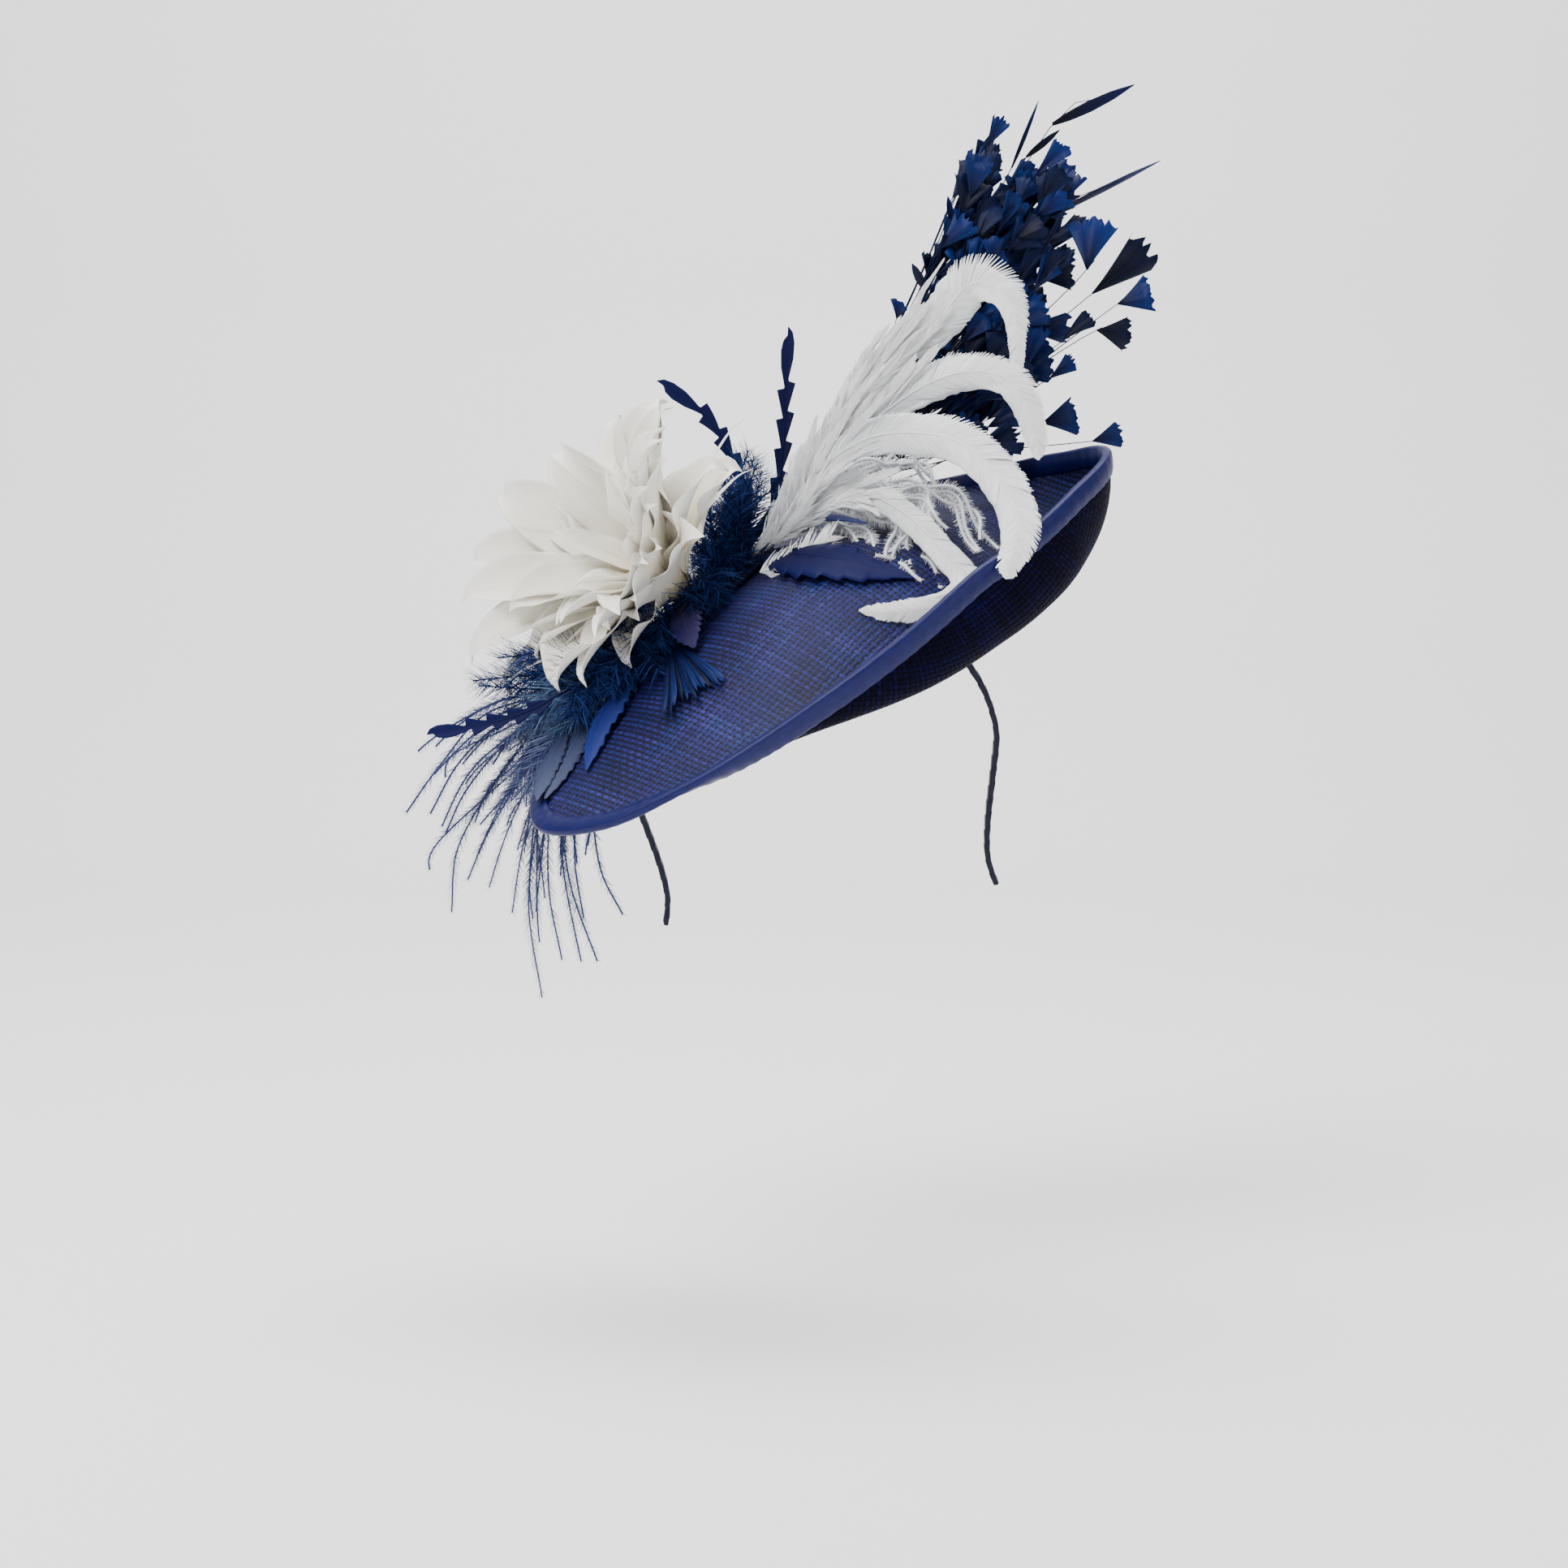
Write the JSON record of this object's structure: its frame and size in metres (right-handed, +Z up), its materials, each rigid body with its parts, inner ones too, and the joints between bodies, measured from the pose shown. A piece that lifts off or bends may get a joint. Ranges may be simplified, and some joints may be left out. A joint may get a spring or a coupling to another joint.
{
  "type": "fascinator hat",
  "caption": "Woven saucer fascinator on a headband, dressed with an ivory feather flower, white coque feathers and navy feather sprays.",
  "frame": {"origin": "underside of the headband at its top, where it sits on the head", "axes": "+Z up from the head, +X towards the wearer's left and the saucer's raised tip, -Y towards the wearer's front"},
  "size_m": [0.3369, 0.1739, 0.4145],
  "materials": {
    "sinamay": "open straw weave",
    "satin": "satin",
    "band_ribbon": "satin",
    "backing": "matte",
    "ivory": "matte feather",
    "white_feather": "matte feather",
    "navy_feather": "matte feather",
    "blue_feather": "silky feather",
    "grey_feather": "matte feather",
    "purple_feather": "matte feather"
  },
  "bodies": {
    "root": {"headband": "band_ribbon", "sinamay_saucer": "sinamay", "brim_binding": "satin", "spray_mount": "backing", "marabou_collar": "backing", "flower_core": "ivory", "petal_01": "ivory", "petal_02": "ivory", "petal_03": "ivory", "petal_04": "ivory", "petal_05": "ivory", "petal_06": "ivory", "petal_07": "ivory", "petal_08": "ivory", "petal_09": "ivory", "petal_10": "ivory", "petal_11": "ivory", "petal_12": "ivory", "petal_13": "ivory", "petal_14": "ivory", "petal_15": "ivory", "petal_16": "ivory", "white_coque_1": "white_feather", "white_coque_2": "white_feather", "white_coque_3": "white_feather", "white_coque_4": "white_feather", "arrow_quill_1": "navy_feather", "arrow_quill_2": "navy_feather", "arrow_quill_3": "navy_feather", "satin_strip_feather": "blue_feather", "leaf_feather_1": "blue_feather", "leaf_feather_2": "grey_feather", "leaf_feather_3": "grey_feather", "leaf_feather_4": "purple_feather", "leaf_feather_5": "navy_feather", "brim_fan_feather": "navy_feather", "navy_fan_spray": "navy_feather", "white_ostrich_curls": "white_feather", "navy_ostrich_spray": "navy_feather"}
  },
  "joints": []
}
